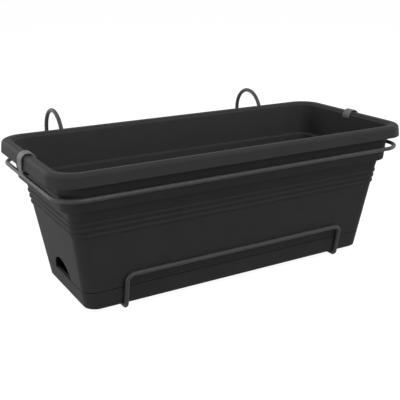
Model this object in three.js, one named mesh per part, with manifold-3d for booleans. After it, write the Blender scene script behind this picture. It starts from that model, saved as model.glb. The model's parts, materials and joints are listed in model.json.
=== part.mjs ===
/*
 * Window box planter: a moulded trough with a turned-over rim on a shallow water tray,
 * held in a bent-wire hanger that hooks over a rail, with a snap clip at each end.
 *
 * Millimetres, +Z up, +X along the trough, -Y is the front and +Y the rail side.
 * The geometry is written with z = 0 at the tray's underside and y = 0 in the middle of
 * the trough, then moved so that the origin is the bottom centre of the whole object.
 */
import * as THREE from 'three';
import { mergeVertices } from 'three/addons/utils/BufferGeometryUtils.js';
import Module from 'manifold-3d';

// ---------------------------------------------------------------- driving dimensions
// Fits
const GAP = 0.3; // between pieces that touch

// Trough: rim and collar
const RIM_LENGTH = 490;
const RIM_DEPTH = 223.7;
const RIM_TOP = 176.3; // above the tray's underside
const RIM_DROP = 15.6; // height of the turned-over face
const RIM_ROUND = 5; // outer top edge
const RIM_LAND = 11.5; // outer face to the inner crest
const RIM_CREST_DIP = 0.7; // the crest lies this far below the top
const RIM_LIP_HEIGHT = 3.9; // steep inner face below the crest
const RIM_LIP_RUN = 1.7;
const RIM_CREST_EDGE = 0.8; // broken edge between the lip and the crest
const RIM_TOP_WALL = 2.8; // under the rim's top
const RIM_HOLLOW_EDGE = 3; // slope at the top of the hollow behind the rim's face
const RIM_CORNER = 31; // plan radius
const COLLAR_CORNER = 21; // plan radius at the collar's foot
const COLLAR_SETBACK = 13.6; // rim face to collar, at the rim's lower edge
const COLLAR_DRAFT_DEG = 4.95;
const COLLAR_FOOT_ROUND = 2.2;
const COLLAR_RISE = 4; // the collar keeps its draft this far up behind the rim's face

// Trough: wall below the collar
const LEDGE_HEIGHT = 127.2; // underside of the step, above the tray's underside
const LEDGE_SIDE = 6.6;
const LEDGE_END = 7.9;
const SIDE_DRAFT_DEG = 8.04;
const END_DRAFT_DEG = 8.35;
const WALL_CORNER = 16;
const WALL = 2.2;
const BEAD_COUNT = 3;
const BEAD_FIRST = 16; // ledge underside to the middle of the first bead
const BEAD_PITCH = 7.3;
const BEAD_HEIGHT = 5;
const BEAD_PROUD = 0.9;
const STEP_FILLET = 0.8; // under the step, and twice as much above it
const LEDGE_EDGE = 1; // inner edge of the ledge
const SEAM_EDGE = 0.5; // broken edges of the seam between the skirt and the tray

// Trough: floor, wells and openings
const FLOOR_UNDERSIDE = 46;
const FLOOR = 2.3;
const FLOOR_FILLET = 4; // inside, at the raised floor
const FLOOR_ROOT = 2; // slope between the skirt and the raised floor's underside
const WELL_SPACING = 220;
const WELL_DIAMETER = 40;
const WELL_DRAFT = 3; // smaller at the foot by this much in diameter
const WELL_SLOTS = 8;
const WELL_SLOT_WIDTH = 3;
const WELL_SLOT_HEIGHT = 14;
const WELL_SLOT_RISE = 1; // slot's foot above the well's floor
const DRAIN_DIAMETER = 7;
const DRAIN_PITCH = 60;
const DRAIN_ROW = 50; // from the middle line
const DRAIN_COLUMNS = 7;
const MOON_WIDTH = 52;
const MOON_HEIGHT = 20.6;

// Water tray
const TRAY_HEIGHT = 22.6;
const TRAY_FLOOR = 2.2;
const TRAY_FILLET = 3; // inside, at the tray's floor
const TRAY_EDGE_ROUND = 1.6;
const TONGUE_HEIGHT = 4.5; // stands inside the skirt
const TONGUE_WALL = 1.5;
const TONGUE_ROOT = 3; // full thickness starts this far below the tray's edge
const TONGUE_LEAD = 0.6; // broken edge that guides the skirt over the tongue
const TONGUE_NOTCH_ROOM = 1; // on each side of a half-moon

// Ring wire round the collar
const RING_WIRE = 5.2;
const RING_BELOW_RIM = 14.1; // rim's lower edge to the wire's centre
const RING_END_SETBACK = 6; // rim's end face to the wire's centre
const RING_CORNER = 30;

// Hanger wire
const HANGER_WIRE = 5.5;
const HOOK_SPACING = 313;
const HOOK_RADIUS = 33; // centre line
const HOOK_RISE = 17.3; // rim top to the hook's highest centre line
const TAIL_LENGTH = 45; // below the hook's centre
const BACK_BEND = 12;
const FRONT_BEND = 5.5;
const BAR_BEND = 9;
const BAR_HEIGHT = 39.8;
const BAR_STANDOFF = 2.5; // wire to wall
const ARM_STANDOFF = 0.5; // wire to the tray's foot

// End clips
const CLIP_STRIP = 1.8;
const CLIP_WIDTH = 14;
const CLIP_FOOT_WIDTH = 24;
const CLIP_GUSSET = 8; // from the ring wire's centre up to the narrow strap
const CLIP_RIM_GAP = 0.6; // lets the clip swing past the rim's face
const CLIP_TOP_GAP = 1.3; // under the top of the arch
const CLIP_ARCH_RADIUS = 8.4; // centre line, over the rim
const CLIP_TIP_DEPTH = 8.6; // rim top to the middle of the hooked tip
const CLIP_JAW_LIP = 2.5;
const CLIP_JAW_START_DEG = 20; // where the leg meets the jaw, above level
const CLIP_LEG_OVERRUN = 1; // straight leg below the rim's face

// Facets
const CORNER_STEPS = 6; // in a quarter turn of a plan corner
const WIRE_SIDES = 12;
const BEND_STEPS = 5; // in a quarter turn of a wire
const HOOK_STEPS = 11; // odd, so that a flat lies across the top of each hook
const ARC_STEPS = 8; // in a quarter turn of the clip's profile
const EDGE_ANGLES = [0, 22, 45, 68, 90]; // of a moulding's large rounded edge, in degrees
const SMALL_EDGE_ANGLES = [0, 45, 90];
const BEAD_SHARES = [1, 0.6, 0, -0.6, -1]; // of half its height, from top to bottom
const WELL_SIDES = 32;
const DRAIN_SIDES = 12;
const MOON_STEPS = 20;

// Making
const CUT_OVERSHOOT = 1; // cutters reach this far past what they cut
const WELD_DISTANCE = 1e-4; // vertices this close are one
const SMALLEST_CORNER = 0.2;
const MITRE_LIMIT = 0.5;

// ---------------------------------------------------------------- derived sizes
const rad = THREE.MathUtils.degToRad;
const rimHalf = { x: RIM_LENGTH / 2, y: RIM_DEPTH / 2 };
const rimFoot = RIM_TOP - RIM_DROP;
const collarHeight = rimFoot - LEDGE_HEIGHT;
const collarFootSetback = COLLAR_SETBACK + collarHeight * Math.tan(rad(COLLAR_DRAFT_DEG));
const cornerLoss = (RIM_CORNER - COLLAR_CORNER) / collarFootSetback; // plan radius lost per setback
const skirtFoot = TRAY_HEIGHT + GAP;
const floorTop = FLOOR_UNDERSIDE + FLOOR;
const wellFoot = TRAY_FLOOR + GAP;
const ledgeTop = LEDGE_HEIGHT + WALL;
const crestHeight = RIM_TOP - RIM_CREST_DIP;
const ringRadius = RING_WIRE / 2;
const hangerRadius = HANGER_WIRE / 2;
const ringCentre = {
  x: rimHalf.x - RING_END_SETBACK,
  y: rimHalf.y - ringRadius,
  z: rimFoot - RING_BELOW_RIM,
};
const backLeg = rimHalf.y + GAP + hangerRadius;
const runnerHeight = -(GAP + hangerRadius);
const barOffset = (hangerRadius + BAR_STANDOFF) / Math.cos(rad(SIDE_DRAFT_DEG)); // wall to bar's centre

/** Plan section of the outer wall at a height, swollen or shrunk by an offset. */
function wallSection(z, offset = 0) {
  const below = LEDGE_HEIGHT - z;
  const setback = collarFootSetback;
  return {
    x: rimHalf.x - setback - LEDGE_END - below * Math.tan(rad(END_DRAFT_DEG)) + offset,
    y: rimHalf.y - setback - LEDGE_SIDE - below * Math.tan(rad(SIDE_DRAFT_DEG)) + offset,
    z,
    r: WALL_CORNER + offset,
  };
}

/** Plan section set in from the rim's outer face, with a corner that tightens as it goes in. */
function rimSection(setback, z) {
  const r = RIM_CORNER - setback * cornerLoss;
  return { x: rimHalf.x - setback, y: rimHalf.y - setback, z, r };
}

/** Setback of the collar's outer face at a height. */
function collarSetback(z) {
  return COLLAR_SETBACK + (rimFoot - z) * Math.tan(rad(COLLAR_DRAFT_DEG));
}

// ---------------------------------------------------------------- modelling helpers
const wasm = await Module();
wasm.setup();

/** Welds a closed geometry's vertices, so that only shared positions are left. */
function welded(geometry) {
  const bare = geometry.clone();
  bare.deleteAttribute('normal');
  bare.deleteAttribute('uv');
  return mergeVertices(bare, WELD_DISTANCE);
}

function toManifold(geometry) {
  const mesh = welded(geometry);
  return new wasm.Manifold(
    new wasm.Mesh({
      numProp: 3,
      vertProperties: new Float32Array(mesh.attributes.position.array),
      triVerts: new Uint32Array(mesh.index.array),
    }),
  );
}

function toGeometry(manifold) {
  const mesh = manifold.getMesh();
  const geometry = new THREE.BufferGeometry();
  geometry.setAttribute('position', new THREE.BufferAttribute(mesh.vertProperties, 3));
  geometry.setIndex(new THREE.BufferAttribute(mesh.triVerts, 1));
  return geometry;
}

/** Points of a rounded rectangle, anticlockwise seen from above. */
function sectionPoints({ x, y, z, r }) {
  const corner = Math.max(Math.min(r, x - SMALLEST_CORNER, y - SMALLEST_CORNER), SMALLEST_CORNER);
  const points = [];
  for (let quarter = 0; quarter < 4; quarter += 1) {
    const cx = (x - corner) * (quarter === 0 || quarter === 3 ? 1 : -1);
    const cy = (y - corner) * (quarter < 2 ? 1 : -1);
    for (let step = 0; step <= CORNER_STEPS; step += 1) {
      const angle = (quarter + step / CORNER_STEPS) * (Math.PI / 2);
      points.push(new THREE.Vector3(cx + corner * Math.cos(angle), cy + corner * Math.sin(angle), z));
    }
  }
  return points;
}

/** Skins a vessel's plan sections, from its inside over the rim to its underside. */
function loft(sections) {
  const rings = sections.map(sectionPoints);
  const count = rings[0].length;
  const positions = rings.flat().flatMap((p) => [p.x, p.y, p.z]);
  const index = [];
  for (let ring = 0; ring + 1 < rings.length; ring += 1) {
    for (let i = 0; i < count; i += 1) {
      const j = (i + 1) % count;
      const low = ring * count;
      const high = low + count;
      index.push(low + i, high + j, low + j, low + i, high + i, high + j);
    }
  }
  const first = positions.length / 3;
  positions.push(0, 0, sections[0].z, 0, 0, sections.at(-1).z);
  const lastRing = (rings.length - 1) * count;
  for (let i = 0; i < count; i += 1) {
    const j = (i + 1) % count;
    index.push(first, i, j, first + 1, lastRing + j, lastRing + i);
  }
  const geometry = new THREE.BufferGeometry();
  geometry.setAttribute('position', new THREE.Float32BufferAttribute(positions, 3));
  geometry.setIndex(index);
  return geometry;
}

/** A bent wire's centre line: it is read at its own points, straight or in a bend. */
class BentWire extends THREE.Curve {
  constructor(points) {
    super();
    this.points = points;
  }

  getPoint(t, target = new THREE.Vector3()) {
    const place = t * (this.points.length - 1);
    const i = Math.min(Math.floor(place + WELD_DISTANCE), this.points.length - 2);
    return target.lerpVectors(this.points[i], this.points[i + 1], place - i);
  }

  getPointAt(u, target) {
    return this.getPoint(u, target);
  }

  getTangentAt(u, target = new THREE.Vector3()) {
    const last = this.points.length - 1;
    const i = Math.round(u * last);
    const closed = this.points[0].distanceTo(this.points[last]) < WELD_DISTANCE;
    const before = this.points[i > 0 ? i - 1 : closed ? last - 1 : 0];
    const after = this.points[i < last ? i + 1 : closed ? 1 : last];
    const here = this.points[i];
    target.set(0, 0, 0);
    if (before.distanceTo(here) > 0) target.add(here.clone().sub(before).normalize());
    if (after.distanceTo(here) > 0) target.add(after.clone().sub(here).normalize());
    return target.normalize();
  }
}

/** Rounds each inner corner of a run of points with a bend of the given radius. */
function bend(corners, radii, steps) {
  const path = [corners[0]];
  for (let i = 1; i + 1 < corners.length; i += 1) {
    const toBack = corners[i - 1].clone().sub(corners[i]).normalize();
    const toNext = corners[i + 1].clone().sub(corners[i]).normalize();
    const half = toBack.angleTo(toNext) / 2;
    const radius = radii[i - 1];
    const middle = toBack.clone().add(toNext).normalize();
    const centre = corners[i].clone().addScaledVector(middle, radius / Math.sin(half));
    const start = corners[i].clone().addScaledVector(toBack, radius / Math.tan(half)).sub(centre);
    const end = corners[i].clone().addScaledVector(toNext, radius / Math.tan(half)).sub(centre);
    const sweep = start.angleTo(end);
    const axis = start.clone().cross(end).normalize();
    const count = Math.max(2, Math.round((steps * sweep) / (Math.PI / 2)));
    for (let step = 0; step <= count; step += 1) {
      path.push(start.clone().applyAxisAngle(axis, (sweep * step) / count).add(centre));
    }
  }
  path.push(corners.at(-1));
  return path;
}

/** Round section of a wire, with flats square to the bend's plane. */
function wireShape(radius) {
  const points = [];
  for (let i = 0; i < WIRE_SIDES; i += 1) {
    const angle = ((i + 0.5) / WIRE_SIDES) * Math.PI * 2;
    const across = radius / Math.cos(Math.PI / WIRE_SIDES);
    points.push(new THREE.Vector2(across * Math.cos(angle), across * Math.sin(angle)));
  }
  return new THREE.Shape(points);
}

function node(name, geometry, material) {
  const mesh = new THREE.Mesh(geometry, material);
  mesh.name = name;
  return mesh;
}

// ---------------------------------------------------------------- trough
/** Where a rounded edge leaves its two faces, at an angle from the first one. */
function edgeAt(radius, degrees) {
  return { away: radius * (1 - Math.cos(rad(degrees))), along: radius * Math.sin(rad(degrees)) };
}

/** Inside of a moulding from its floor up into its wall, through a fillet. */
function floorFillet(floor, fillet) {
  return SMALL_EDGE_ANGLES.map((degrees) => {
    const { away, along } = edgeAt(fillet, degrees);
    return wallSection(floor + away, along - fillet - WALL);
  });
}

/** Outer face from the rim's top down to the skirt's foot, as plan sections. */
function troughOutside() {
  const sections = [rimSection(RIM_LAND, crestHeight)];
  for (const degrees of EDGE_ANGLES.toReversed()) {
    const { away, along } = edgeAt(RIM_ROUND, degrees);
    sections.push(rimSection(away, RIM_TOP - RIM_ROUND + along));
  }
  sections.push(rimSection(0, rimFoot));
  // hollow of the turned-over face, open downwards
  const hollowTop = RIM_TOP - RIM_TOP_WALL;
  sections.push(rimSection(WALL, rimFoot));
  sections.push(rimSection(WALL, hollowTop - RIM_HOLLOW_EDGE));
  sections.push(rimSection(WALL + RIM_HOLLOW_EDGE, hollowTop));
  sections.push(rimSection(RIM_LAND - WALL / 2, hollowTop));
  // collar and its rounded foot
  const riseTop = rimFoot + COLLAR_RISE;
  sections.push(rimSection(collarSetback(riseTop), riseTop));
  for (const degrees of SMALL_EDGE_ANGLES) {
    const { away, along } = edgeAt(COLLAR_FOOT_ROUND, degrees);
    const z = LEDGE_HEIGHT + COLLAR_FOOT_ROUND - along;
    sections.push(rimSection(collarSetback(z) + away, z));
  }
  // plain wall with the row of beads under the step
  sections.push(wallSection(LEDGE_HEIGHT, STEP_FILLET));
  sections.push(wallSection(LEDGE_HEIGHT - STEP_FILLET));
  for (let bead = 0; bead < BEAD_COUNT; bead += 1) {
    const middle = LEDGE_HEIGHT - BEAD_FIRST - bead * BEAD_PITCH;
    for (const share of BEAD_SHARES) {
      const z = middle + (share * BEAD_HEIGHT) / 2;
      sections.push(wallSection(z, BEAD_PROUD * Math.sqrt(1 - share * share)));
    }
  }
  sections.push(wallSection(skirtFoot + SEAM_EDGE));
  sections.push(wallSection(skirtFoot, -SEAM_EDGE));
  return sections;
}

/** Inside of the skirt up to the underside of the raised floor. */
function troughUnderside() {
  return [
    wallSection(skirtFoot, -WALL),
    wallSection(FLOOR_UNDERSIDE - FLOOR_ROOT, -WALL),
    wallSection(FLOOR_UNDERSIDE, -WALL - FLOOR_ROOT),
  ];
}

/** Planting space from the floor up to the rim's crest. */
function troughInside() {
  const fillet = 2 * STEP_FILLET;
  return [
    ...floorFillet(floorTop, FLOOR_FILLET),
    wallSection(ledgeTop - LEDGE_EDGE, -WALL),
    wallSection(ledgeTop, LEDGE_EDGE - WALL),
    rimSection(collarSetback(ledgeTop) + WALL + fillet, ledgeTop),
    rimSection(collarSetback(ledgeTop + fillet) + WALL, ledgeTop + fillet),
    rimSection(collarSetback(rimFoot) + WALL, rimFoot),
    rimSection(RIM_LAND + RIM_LIP_RUN, crestHeight - RIM_LIP_HEIGHT),
    rimSection(RIM_LAND + RIM_CREST_EDGE / 2, crestHeight - RIM_CREST_EDGE),
  ];
}

/** One root well that stands on the tray's floor: its outer and its inner solid. */
function wellSolid(shrink, low, high) {
  const drop = (z) => ((floorTop - z) / (floorTop - wellFoot)) * (WELL_DRAFT / 2);
  const top = WELL_DIAMETER / 2 - drop(high) - shrink;
  const bottom = WELL_DIAMETER / 2 - drop(low) - shrink;
  const cone = new THREE.CylinderGeometry(top, bottom, high - low, WELL_SIDES);
  cone.rotateX(Math.PI / 2);
  cone.translate(0, 0, (high + low) / 2);
  return cone;
}

function buildTrough() {
  const shell = loft([...troughInside(), ...troughOutside(), ...troughUnderside()]);
  let trough = toManifold(shell);

  for (const side of [-1, 1]) {
    const at = (side * WELL_SPACING) / 2;
    const outer = wellSolid(0, wellFoot, floorTop - FLOOR / 2).translate(at, 0, 0);
    const inner = wellSolid(WALL, wellFoot + WALL, floorTop + CUT_OVERSHOOT).translate(at, 0, 0);
    trough = trough.add(toManifold(outer)).subtract(toManifold(inner));
    const across = WELL_DIAMETER + 2 * CUT_OVERSHOOT;
    for (let slot = 0; slot < WELL_SLOTS / 2; slot += 1) {
      const cutter = new THREE.BoxGeometry(across, WELL_SLOT_WIDTH, WELL_SLOT_HEIGHT);
      cutter.rotateZ(((slot + 0.5) / WELL_SLOTS) * Math.PI * 2);
      cutter.translate(at, 0, wellFoot + WALL + WELL_SLOT_RISE + WELL_SLOT_HEIGHT / 2);
      trough = trough.subtract(toManifold(cutter));
    }
  }

  for (let column = 0; column < DRAIN_COLUMNS; column += 1) {
    for (const row of [-1, 1]) {
      const radius = DRAIN_DIAMETER / 2;
      const depth = FLOOR + 2 * CUT_OVERSHOOT;
      const drill = new THREE.CylinderGeometry(radius, radius, depth, DRAIN_SIDES);
      drill.rotateX(Math.PI / 2);
      const x = (column - (DRAIN_COLUMNS - 1) / 2) * DRAIN_PITCH;
      drill.translate(x, row * DRAIN_ROW, floorTop - FLOOR / 2);
      trough = trough.subtract(toManifold(drill));
    }
  }

  for (const side of [-1, 1]) {
    trough = trough.subtract(toManifold(moonCutter(side, skirtFoot)));
  }
  return toGeometry(trough);
}

/** Half-moon cutter through one end wall, with its flat side at the given height. */
function moonCutter(side, foot) {
  const outline = new THREE.Shape();
  outline.moveTo(-MOON_WIDTH / 2, foot - CUT_OVERSHOOT);
  outline.lineTo(MOON_WIDTH / 2, foot - CUT_OVERSHOOT);
  outline.lineTo(MOON_WIDTH / 2, foot);
  outline.absellipse(0, foot, MOON_WIDTH / 2, MOON_HEIGHT, 0, Math.PI, false, 0);
  outline.closePath();
  const lean = MOON_HEIGHT * Math.tan(rad(END_DRAFT_DEG));
  const depth = 2 * (WALL + lean + CUT_OVERSHOOT);
  const cutter = new THREE.ExtrudeGeometry(outline, {
    depth,
    bevelEnabled: false,
    curveSegments: MOON_STEPS,
  });
  cutter.rotateX(Math.PI / 2);
  cutter.rotateZ(Math.PI / 2);
  const middle = wallSection(foot).x;
  cutter.translate(side * middle - depth / 2, 0, 0);
  return cutter;
}

// ---------------------------------------------------------------- water tray
function buildTray() {
  const tongueTop = TRAY_HEIGHT + TONGUE_HEIGHT;
  const tongueOuter = -(WALL + GAP);
  const tongueInner = tongueOuter - TONGUE_WALL;
  const rootTop = TRAY_HEIGHT - TONGUE_ROOT;
  const sections = [
    ...floorFillet(TRAY_FLOOR, TRAY_FILLET),
    wallSection(rootTop - GAP - TONGUE_WALL, -WALL),
    wallSection(rootTop, tongueInner),
    wallSection(tongueTop, tongueInner),
    wallSection(tongueTop, tongueOuter - TONGUE_LEAD),
    wallSection(tongueTop - TONGUE_LEAD, tongueOuter),
    wallSection(TRAY_HEIGHT, tongueOuter),
    wallSection(TRAY_HEIGHT, -SEAM_EDGE),
    wallSection(TRAY_HEIGHT - SEAM_EDGE),
  ];
  for (const degrees of EDGE_ANGLES) {
    const { away, along } = edgeAt(TRAY_EDGE_ROUND, degrees);
    sections.push(wallSection(TRAY_EDGE_ROUND - along, -away));
  }
  let tray = toManifold(loft(sections));

  // the tongue stops at each half-moon, so that water can be poured in
  for (const side of [-1, 1]) {
    const depth = 2 * (CUT_OVERSHOOT - tongueInner);
    const height = TONGUE_HEIGHT + CUT_OVERSHOOT;
    const notch = new THREE.BoxGeometry(depth, MOON_WIDTH + 2 * TONGUE_NOTCH_ROOM, height);
    notch.translate(side * wallSection(TRAY_HEIGHT).x, 0, TRAY_HEIGHT + height / 2);
    tray = tray.subtract(toManifold(notch));
  }
  return toGeometry(tray);
}

// ---------------------------------------------------------------- wires
function buildRing() {
  const plan = { x: ringCentre.x, y: ringCentre.y, z: ringCentre.z, r: RING_CORNER };
  const points = sectionPoints(plan);
  points.push(points[0].clone());
  const path = new BentWire(points);
  return new THREE.TubeGeometry(path, points.length - 1, ringRadius, WIRE_SIDES, true);
}

/** Half of the hanger's centre line, from the tail's end to the middle of the front bar. */
function hangerHalf() {
  const x = HOOK_SPACING / 2;
  const hookCentre = new THREE.Vector3(x, backLeg + HOOK_RADIUS, RIM_TOP + HOOK_RISE - HOOK_RADIUS);
  const tail = new THREE.Vector3(x, backLeg + 2 * HOOK_RADIUS, hookCentre.z - TAIL_LENGTH);
  const points = [tail];
  for (let step = 0; step <= HOOK_STEPS; step += 1) {
    const angle = (Math.PI * step) / HOOK_STEPS;
    const away = HOOK_RADIUS * Math.cos(angle);
    points.push(new THREE.Vector3(x, hookCentre.y + away, hookCentre.z + HOOK_RADIUS * Math.sin(angle)));
  }
  const barFace = wallSection(BAR_HEIGHT).y + barOffset;
  const armTray = wallSection(0).y + ARM_STANDOFF + hangerRadius;
  const armFoot = armTray + ((barFace - armTray) * runnerHeight) / BAR_HEIGHT;
  const corners = [
    points.at(-1),
    new THREE.Vector3(x, backLeg, runnerHeight),
    new THREE.Vector3(x, -armFoot, runnerHeight),
    new THREE.Vector3(x, -barFace, BAR_HEIGHT),
    new THREE.Vector3(0, -barFace, BAR_HEIGHT),
  ];
  const bends = bend(corners, [BACK_BEND, FRONT_BEND, BAR_BEND], BEND_STEPS);
  return [...points.slice(0, -1), ...bends.slice(0, -1)];
}

function buildHanger() {
  const half = hangerHalf();
  const mirrored = half.map((p) => new THREE.Vector3(-p.x, p.y, p.z)).reverse();
  const path = new BentWire([...half, ...mirrored]);
  const steps = half.length + mirrored.length - 1;
  return new THREE.ExtrudeGeometry(wireShape(hangerRadius), {
    steps,
    extrudePath: path,
    curveSegments: 1,
  });
}

// ---------------------------------------------------------------- end clips
/** Where the clip's tip sits behind the rim, and what it turns about, on the +X end. */
function clipPivot() {
  const archCentre = rimHalf.x + CLIP_RIM_GAP + CLIP_STRIP / 2 - CLIP_ARCH_RADIUS;
  return new THREE.Vector2(archCentre - CLIP_ARCH_RADIUS, RIM_TOP - CLIP_TIP_DEPTH);
}

/** Points of an arc in the clip's profile, from one angle to another, in degrees. */
function arcPoints(centre, radius, from, to) {
  const steps = Math.max(2, Math.ceil((Math.abs(to - from) / 90) * ARC_STEPS));
  const points = [];
  for (let step = 0; step <= steps; step += 1) {
    const angle = rad(from + ((to - from) * step) / steps);
    const x = centre.x + radius * Math.cos(angle);
    points.push(new THREE.Vector2(x, centre.y + radius * Math.sin(angle)));
  }
  return points;
}

/** Centre line of the strip in the XZ plane: tip, arch over the rim, leg, jaw under the ring. */
function clipCentreLine() {
  const tip = clipPivot();
  const archTop = RIM_TOP + CLIP_TOP_GAP + CLIP_STRIP / 2;
  const arch = new THREE.Vector2(tip.x + CLIP_ARCH_RADIUS, archTop - CLIP_ARCH_RADIUS);
  const ring = new THREE.Vector2(ringCentre.x, ringCentre.z);
  const jawRadius = ringRadius + GAP + CLIP_STRIP / 2;
  const legX = arch.x + CLIP_ARCH_RADIUS;
  // the jaw opens along the path that the wire takes as the clip swings out
  const swing = Math.atan2(ring.y - tip.y, ring.x - tip.x);
  const lipAngle = THREE.MathUtils.radToDeg(swing);
  const points = [tip, ...arcPoints(arch, CLIP_ARCH_RADIUS, 180, 0)];
  points.push(new THREE.Vector2(legX, rimFoot - CLIP_LEG_OVERRUN));
  points.push(...arcPoints(ring, jawRadius, CLIP_JAW_START_DEG, lipAngle));
  const along = new THREE.Vector2(Math.sin(swing), -Math.cos(swing));
  const last = points.at(-1).clone();
  points.push(last.addScaledVector(along, CLIP_JAW_LIP));
  return points;
}

/** Outline of a strip of even thickness round a centre line, with rounded ends. */
function stripOutline(line, thickness) {
  const half = thickness / 2;
  const left = [];
  const right = [];
  line.forEach((point, i) => {
    const before = line[Math.max(i - 1, 0)];
    const after = line[Math.min(i + 1, line.length - 1)];
    const first = point.clone().sub(before);
    const second = after.clone().sub(point);
    const a = (first.lengthSq() > 0 ? first : second).clone().normalize();
    const b = (second.lengthSq() > 0 ? second : first).clone().normalize();
    const along = a.clone().add(b).normalize();
    const normal = new THREE.Vector2(-along.y, along.x);
    const reach = half / Math.max(along.dot(a), MITRE_LIMIT);
    left.push(point.clone().addScaledVector(normal, reach));
    right.push(point.clone().addScaledVector(normal, -reach));
  });
  const roundEnd = (end, from) => {
    const start = THREE.MathUtils.radToDeg(Math.atan2(from.y - end.y, from.x - end.x));
    return arcPoints(end, half, start, start - 180).slice(1, -1);
  };
  const nose = roundEnd(line.at(-1), left.at(-1));
  const tail = roundEnd(line[0], right[0]);
  return new THREE.Shape([...left, ...nose, ...right.reverse(), ...tail]);
}

/** Front view of the clip: a narrow strap that widens into its foot through hollow gussets. */
function clipFace() {
  const below = ringCentre.z - RING_WIRE - CLIP_JAW_LIP - CLIP_STRIP;
  const above = RIM_TOP + 2 * CLIP_ARCH_RADIUS;
  const wide = CLIP_FOOT_WIDTH / 2;
  const narrow = CLIP_WIDTH / 2;
  const right = [new THREE.Vector2(wide, below)];
  for (let step = 0; step <= ARC_STEPS; step += 1) {
    const angle = ((Math.PI / 2) * step) / ARC_STEPS;
    const y = narrow + (wide - narrow) * (1 - Math.sin(angle));
    const z = ringCentre.z + CLIP_GUSSET * (1 - Math.cos(angle));
    right.push(new THREE.Vector2(y, z));
  }
  right.push(new THREE.Vector2(narrow, above));
  const left = right.map((p) => new THREE.Vector2(-p.x, p.y)).reverse();
  return new THREE.Shape([...right, ...left]);
}

function buildClip() {
  const profile = stripOutline(clipCentreLine(), CLIP_STRIP);
  const across = CLIP_FOOT_WIDTH + 2 * CUT_OVERSHOOT;
  const strip = new THREE.ExtrudeGeometry(profile, { depth: across, bevelEnabled: false });
  strip.rotateX(Math.PI / 2);
  strip.translate(0, across / 2, 0);
  const length = 4 * CLIP_ARCH_RADIUS + RING_END_SETBACK;
  const face = new THREE.ExtrudeGeometry(clipFace(), { depth: 2 * length, bevelEnabled: false });
  face.rotateX(Math.PI / 2);
  face.rotateZ(Math.PI / 2);
  face.translate(rimHalf.x - length, 0, 0);
  return toGeometry(toManifold(strip).intersect(toManifold(face)));
}

// ---------------------------------------------------------------- assembly
const charcoal = new THREE.MeshStandardMaterial({ color: 0x3a3b3d, roughness: 0.55, metalness: 0 });
const trayCharcoal = new THREE.MeshStandardMaterial({ color: 0x353638, roughness: 0.6, metalness: 0 });
const coatedWire = new THREE.MeshStandardMaterial({ color: 0x46474a, roughness: 0.4, metalness: 0.5 });
const greyPlastic = new THREE.MeshStandardMaterial({ color: 0x6a6b6c, roughness: 0.5, metalness: 0 });

const planter = new THREE.Group();
const held = new THREE.Group();
planter.add(held);

held.add(node('trough', buildTrough(), charcoal));
held.add(node('water_tray', buildTray(), trayCharcoal));
held.add(node('ring_wire', buildRing(), coatedWire));
held.add(node('hanger_wire', buildHanger(), coatedWire));

const clipGeometry = buildClip();
const rightClip = node('right_clip', clipGeometry, greyPlastic);
const leftClip = node('left_clip', clipGeometry, greyPlastic);
leftClip.rotation.z = Math.PI;
held.add(rightClip, leftClip);

// origin at the bottom centre of the whole object
const backmost = backLeg + 2 * HOOK_RADIUS + hangerRadius;
const foremost = Math.max(rimHalf.y, wallSection(BAR_HEIGHT).y + barOffset + hangerRadius);
held.position.set(0, (foremost - backmost) / 2, hangerRadius - runnerHeight);

export default planter;
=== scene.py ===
"""Looks of a window box planter: trough on a water tray, held in a wire hanger with end clips.

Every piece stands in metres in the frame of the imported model. The two mouldings are drawn up
through their level sections, and the wires and clips are bent from one straight length each.
"""

import json
import logging
import math
from dataclasses import astuple, dataclass
from enum import Enum
from functools import cache
from itertools import product

import bmesh
import bpy
from mathutils import Matrix, Vector


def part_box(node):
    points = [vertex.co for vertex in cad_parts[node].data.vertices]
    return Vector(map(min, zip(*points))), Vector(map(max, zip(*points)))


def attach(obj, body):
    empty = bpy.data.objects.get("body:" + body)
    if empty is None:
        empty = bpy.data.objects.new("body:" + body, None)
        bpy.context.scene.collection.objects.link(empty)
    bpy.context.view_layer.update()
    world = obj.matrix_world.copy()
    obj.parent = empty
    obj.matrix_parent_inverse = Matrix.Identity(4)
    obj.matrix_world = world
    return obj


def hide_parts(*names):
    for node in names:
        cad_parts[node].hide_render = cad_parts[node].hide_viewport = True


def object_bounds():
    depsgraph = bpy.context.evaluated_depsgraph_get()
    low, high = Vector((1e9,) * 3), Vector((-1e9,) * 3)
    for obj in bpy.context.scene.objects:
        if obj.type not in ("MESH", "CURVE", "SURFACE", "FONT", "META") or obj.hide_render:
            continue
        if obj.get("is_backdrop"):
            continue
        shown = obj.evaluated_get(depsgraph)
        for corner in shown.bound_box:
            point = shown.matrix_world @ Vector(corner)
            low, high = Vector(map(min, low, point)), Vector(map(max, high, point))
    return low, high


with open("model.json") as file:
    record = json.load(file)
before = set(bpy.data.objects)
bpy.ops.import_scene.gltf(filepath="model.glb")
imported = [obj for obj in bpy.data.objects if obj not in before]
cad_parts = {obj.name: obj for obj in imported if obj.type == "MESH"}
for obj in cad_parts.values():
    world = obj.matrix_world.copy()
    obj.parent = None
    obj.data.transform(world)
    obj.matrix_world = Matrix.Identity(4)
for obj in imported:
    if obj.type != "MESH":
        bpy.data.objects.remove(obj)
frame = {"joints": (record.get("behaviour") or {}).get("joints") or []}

BMesh = bmesh.types.BMesh
Object = bpy.types.Object
Socket = bpy.types.NodeSocket
Color = tuple[float, float, float]
Inputs = dict[str | int, object]

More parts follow.
